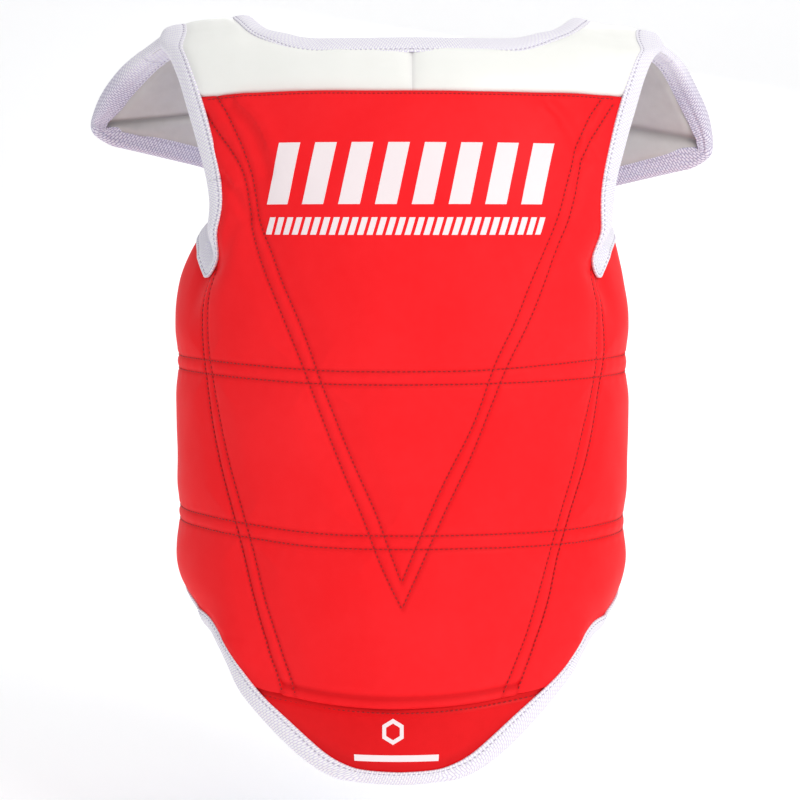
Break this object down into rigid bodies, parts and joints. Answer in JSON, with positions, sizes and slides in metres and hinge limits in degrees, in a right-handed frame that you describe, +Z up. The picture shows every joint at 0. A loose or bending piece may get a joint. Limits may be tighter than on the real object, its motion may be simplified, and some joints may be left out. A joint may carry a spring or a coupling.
{
  "type": "chest protector",
  "caption": "Padded martial-arts trunk protector: quilted red front with white yoke and bound edges, side wings round to an open back, shoulder flaps, back straps and waist belt.",
  "frame": {"origin": "axis of the trunk opening at the level of the hem's lowest point", "axes": "+Z up along the trunk, the wearer faces -Y, the wearer's left is +X"},
  "size_m": [0.4046, 0.2162, 0.4588],
  "materials": {
    "red_cover": "satin",
    "white_vinyl": "satin",
    "white_tape": "matte",
    "blue_lining": "satin",
    "white_lining": "satin",
    "foam": "matte",
    "elastic_webbing": "matte",
    "webbing": "matte",
    "hook_tape": "matte",
    "ring_plastic": "satin"
  },
  "bodies": {
    "torso": {"chest_cover": "red_cover", "chest_foam_outer": "foam", "chest_foam_inner": "foam", "hem_cover": "red_cover", "hem_foam": "foam", "torso_lining": "blue_lining", "neck_binding": "white_tape", "hem_binding": "white_tape", "yoke_cover_left": "white_vinyl", "yoke_foam_left": "foam", "yoke_lining_left": "white_lining", "armhole_binding_left": "white_tape", "yoke_cover_right": "white_vinyl", "yoke_foam_right": "foam", "yoke_lining_right": "white_lining", "armhole_binding_right": "white_tape"},
    "wing_left": {"wing_cover_left": "red_cover", "wing_foam_left": "foam", "wing_lining_left": "blue_lining", "wing_binding_left": "white_tape", "back_strap_left": "elastic_webbing", "strap_hook_tab_left": "hook_tape", "waist_belt": "elastic_webbing", "belt_hook_tab": "hook_tape"},
    "flap_left": {"flap_cover_left": "white_vinyl", "flap_foam_left": "foam", "flap_lining_left": "white_lining", "flap_binding_outer_left": "white_tape", "flap_binding_inner_left": "white_tape"},
    "flap_tip_left": {"flap_tip_cover_left": "white_vinyl", "flap_tip_foam_left": "foam", "flap_tip_lining_left": "white_lining", "flap_tip_binding_left": "white_tape", "ring_tab_left": "webbing"},
    "strap_ring_left": {"strap_ring_left": "ring_plastic"},
    "wing_right": {"wing_cover_right": "red_cover", "wing_foam_right": "foam", "wing_lining_right": "blue_lining", "wing_binding_right": "white_tape", "back_strap_right": "elastic_webbing", "strap_hook_tab_right": "hook_tape", "belt_ring_tab": "webbing"},
    "flap_right": {"flap_cover_right": "white_vinyl", "flap_foam_right": "foam", "flap_lining_right": "white_lining", "flap_binding_outer_right": "white_tape", "flap_binding_inner_right": "white_tape"},
    "flap_tip_right": {"flap_tip_cover_right": "white_vinyl", "flap_tip_foam_right": "foam", "flap_tip_lining_right": "white_lining", "flap_tip_binding_right": "white_tape", "ring_tab_right": "webbing"},
    "strap_ring_right": {"strap_ring_right": "ring_plastic"},
    "belt_ring": {"belt_ring": "ring_plastic"}
  },
  "joints": [
    {"name": "wing_left_fold", "type": "hinge", "parent": "torso", "child": "wing_left", "pos_m": [0.12784, -0.04659, 0.2], "axis": [0, 0, -1], "range_deg": [0, 55], "stiffness_Nm_per_rad": 0.05},
    {"name": "flap_left_lift", "type": "hinge", "parent": "torso", "child": "flap_left", "pos_m": [0.12574, 0, 0.45461], "axis": [0.9921, 0, -0.1253], "range_deg": [0, 70], "stiffness_Nm_per_rad": 0.05},
    {"name": "flap_tip_left_fold", "type": "hinge", "parent": "flap_left", "child": "flap_tip_left", "pos_m": [0.13464, 0.07411, 0.40045], "axis": [0.9754, -0.184, -0.1215], "range_deg": [0, 60], "stiffness_Nm_per_rad": 0.02},
    {"name": "strap_ring_left_swing", "type": "hinge", "parent": "flap_tip_left", "child": "strap_ring_left", "pos_m": [0.08135, 0.09702, 0.33337], "axis": [0.9876, -0.1571, 0], "range_deg": [-20, 75]},
    {"name": "wing_right_fold", "type": "hinge", "parent": "torso", "child": "wing_right", "pos_m": [-0.12784, -0.04659, 0.2], "axis": [0, 0, 1], "range_deg": [0, 55], "stiffness_Nm_per_rad": 0.05},
    {"name": "flap_right_lift", "type": "hinge", "parent": "torso", "child": "flap_right", "pos_m": [-0.12574, 0, 0.45461], "axis": [0.9921, 0, 0.1253], "range_deg": [0, 70], "stiffness_Nm_per_rad": 0.05},
    {"name": "flap_tip_right_fold", "type": "hinge", "parent": "flap_right", "child": "flap_tip_right", "pos_m": [-0.13464, 0.07411, 0.40045], "axis": [0.9754, 0.184, 0.1215], "range_deg": [0, 60], "stiffness_Nm_per_rad": 0.02},
    {"name": "strap_ring_right_swing", "type": "hinge", "parent": "flap_tip_right", "child": "strap_ring_right", "pos_m": [-0.08135, 0.09702, 0.33337], "axis": [0.9876, 0.1571, 0], "range_deg": [-20, 75]},
    {"name": "belt_ring_swing", "type": "hinge", "parent": "wing_right", "child": "belt_ring", "pos_m": [-0.04836, 0.10195, 0.208], "axis": [0, 0, 1], "range_deg": [-15, 60]}
  ]
}
